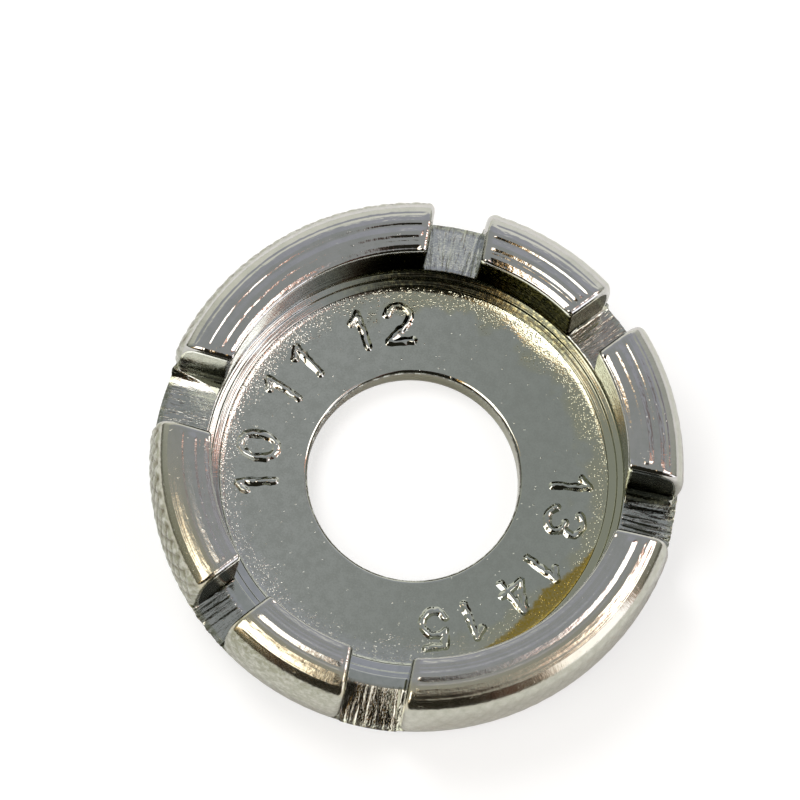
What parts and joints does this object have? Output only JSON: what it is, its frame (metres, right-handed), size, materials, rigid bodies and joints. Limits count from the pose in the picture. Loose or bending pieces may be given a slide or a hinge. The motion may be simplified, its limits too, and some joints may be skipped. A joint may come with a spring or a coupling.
{
  "type": "spoke wrench",
  "caption": "Round spoke wrench: a plated steel disc with a dished middle, a central hole and a knurled rim crossed by straight slots for spoke nipples.",
  "frame": {"origin": "on the axis of the central hole, at the flat underside", "axes": "+Z along the hole's axis, from the underside out of the dish; -X along the middle of the widest slot"},
  "size_m": [0.0393, 0.0394, 0.0096],
  "materials": {
    "plated_rim": "bright nickel plate over turned and knurled steel",
    "cast_floor": "bright nickel plate over a finely pitted cast surface",
    "milled_slots": "bright nickel plate over milling marks"
  },
  "bodies": {
    "root": {"web": "cast_floor", "rim_base": "milled_slots", "land_1": "plated_rim", "land_2": "plated_rim", "land_3": "plated_rim", "land_4": "plated_rim", "land_5": "plated_rim", "land_6": "plated_rim"}
  },
  "joints": []
}
